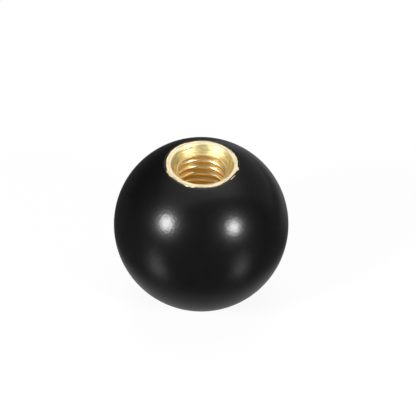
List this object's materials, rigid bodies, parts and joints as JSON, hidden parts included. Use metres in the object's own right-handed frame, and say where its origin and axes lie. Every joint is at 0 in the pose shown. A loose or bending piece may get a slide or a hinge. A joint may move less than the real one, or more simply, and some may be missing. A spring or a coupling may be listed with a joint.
{
  "type": "ball knob",
  "caption": "Gloss black moulded ball knob with a brass threaded bush in its flat end face.",
  "frame": {"origin": "centre of the flat end face, on the thread's axis", "axes": "+Z out of the threaded hole along its axis, as the hole faces up in the picture; X and Y are alike"},
  "size_m": [0.032, 0.032, 0.0305],
  "materials": {
    "ball": "gloss black moulded phenolic",
    "brass": "bright turned brass"
  },
  "bodies": {
    "root": {"ball": "ball", "threaded_bush": "brass"}
  },
  "joints": []
}
